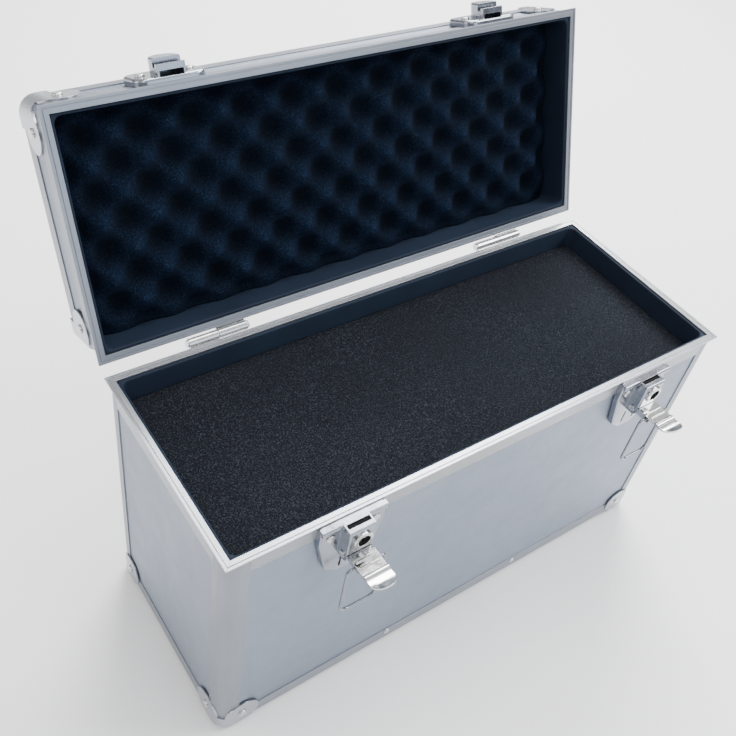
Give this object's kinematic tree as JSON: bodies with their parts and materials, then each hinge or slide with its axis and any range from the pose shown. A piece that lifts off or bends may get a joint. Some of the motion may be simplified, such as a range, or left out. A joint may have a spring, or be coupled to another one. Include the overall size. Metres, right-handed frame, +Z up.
{
  "type": "aluminium case",
  "caption": "Deep top-opening aluminium case with a hinged lid, draw latches, metal corner protectors, foam filling and a folding handle.",
  "frame": {"origin": "on the surface the case stands on, under the middle of its base", "axes": "+Z up, +X along the case to the right seen from the latches, -Y towards the latch side"},
  "size_m": [0.4232, 0.3131, 0.3801],
  "materials": {
    "panel": "fine embossed sheet, satin",
    "extrusion": "anodised, satin",
    "fitting": "bright nickel plate",
    "rivet": "domed rivet, bright plate",
    "wire": "bright steel wire",
    "lock": "dark turned plug",
    "lining": "smooth dark navy lining",
    "base_foam": "charcoal open-cell foam",
    "lid_foam": "dark navy egg-crate foam",
    "rubber": "moulded rubber",
    "grip": "moulded grip"
  },
  "bodies": {
    "base": {"base_corner_posts": "extrusion", "base_corner_protectors": "fitting", "base_edge_front": "extrusion", "base_edge_left": "extrusion", "base_edge_rear": "extrusion", "base_edge_right": "extrusion", "base_foam_1": "base_foam", "base_foam_2": "base_foam", "base_foam_3": "base_foam", "base_lining": "lining", "base_rim_front": "extrusion", "base_rim_left": "extrusion", "base_rim_rear": "extrusion", "base_rim_right": "extrusion", "base_rivets": "rivet", "foot_screws": "wire", "front_panel": "panel", "hinge_left_base_leaf": "fitting", "hinge_left_pin": "fitting", "hinge_right_base_leaf": "fitting", "hinge_right_pin": "fitting", "latch_plate_left": "fitting", "latch_plate_right": "fitting", "latch_rivets": "rivet", "left_panel": "panel", "lever_pin_left": "fitting", "lever_pin_right": "fitting", "lock_barrel_left": "fitting", "lock_barrel_right": "fitting", "lock_bodies": "lock", "rear_panel": "panel", "right_panel": "panel", "rubber_feet": "rubber", "underside_panel": "panel"},
    "lid": {"catch_left": "fitting", "catch_right": "fitting", "catch_rivets": "rivet", "handle_brackets": "fitting", "hinge_left_lid_leaf": "fitting", "hinge_right_lid_leaf": "fitting", "lid_corner_posts": "extrusion", "lid_corner_protectors": "fitting", "lid_edges": "extrusion", "lid_foam": "lid_foam", "lid_lining": "lining", "lid_panel": "panel", "lid_rim_front": "extrusion", "lid_rim_left": "extrusion", "lid_rim_rear": "extrusion", "lid_rim_right": "extrusion", "lid_rivets": "rivet", "lid_side_panels": "panel"},
    "handle": {"handle_frame": "wire", "handle_grip": "grip"},
    "lever_left": {"latch_lever_left": "fitting"},
    "lever_right": {"latch_lever_right": "fitting"},
    "loop_left": {"wire_loop_left": "wire"},
    "loop_right": {"wire_loop_right": "wire"},
    "key_left": {"key_plug_left": "lock"},
    "key_right": {"key_plug_right": "lock"}
  },
  "joints": [
    {"name": "lid_hinge", "type": "hinge", "parent": "base", "child": "lid", "pos_m": [0, 0.0863, 0.214], "axis": [1, 0, 0], "range_deg": [0, 110.76]},
    {"name": "handle_pivot", "type": "hinge", "parent": "lid", "child": "handle", "pos_m": [0, 0.16458, 0.27662], "axis": [1, 0, 0], "range_deg": [-17.5, 69]},
    {"name": "lever_left_pivot", "type": "hinge", "parent": "base", "child": "lever_left", "pos_m": [-0.127, -0.09, 0.1885], "axis": [1, 0, 0], "range_deg": [0, 85]},
    {"name": "loop_left_pivot", "type": "hinge", "parent": "lever_left", "child": "loop_left", "pos_m": [-0.127, -0.1025, 0.1885], "axis": [1, 0, 0], "range_deg": [-265, 0]},
    {"name": "key_left_turn", "type": "hinge", "parent": "base", "child": "key_left", "pos_m": [-0.127, -0.0865, 0.2035], "axis": [0, 1, 0], "range_deg": [0, 90]},
    {"name": "lever_right_pivot", "type": "hinge", "parent": "base", "child": "lever_right", "pos_m": [0.127, -0.09, 0.1885], "axis": [1, 0, 0], "range_deg": [0, 85]},
    {"name": "loop_right_pivot", "type": "hinge", "parent": "lever_right", "child": "loop_right", "pos_m": [0.127, -0.1025, 0.1885], "axis": [1, 0, 0], "range_deg": [-265, 0]},
    {"name": "key_right_turn", "type": "hinge", "parent": "base", "child": "key_right", "pos_m": [0.127, -0.0865, 0.2035], "axis": [0, 1, 0], "range_deg": [0, 90]}
  ],
  "couplings": [
    {"joint": "loop_left_pivot", "follows": "lever_left_pivot", "ratio": -3.1176},
    {"joint": "loop_right_pivot", "follows": "lever_right_pivot", "ratio": -3.1176}
  ]
}
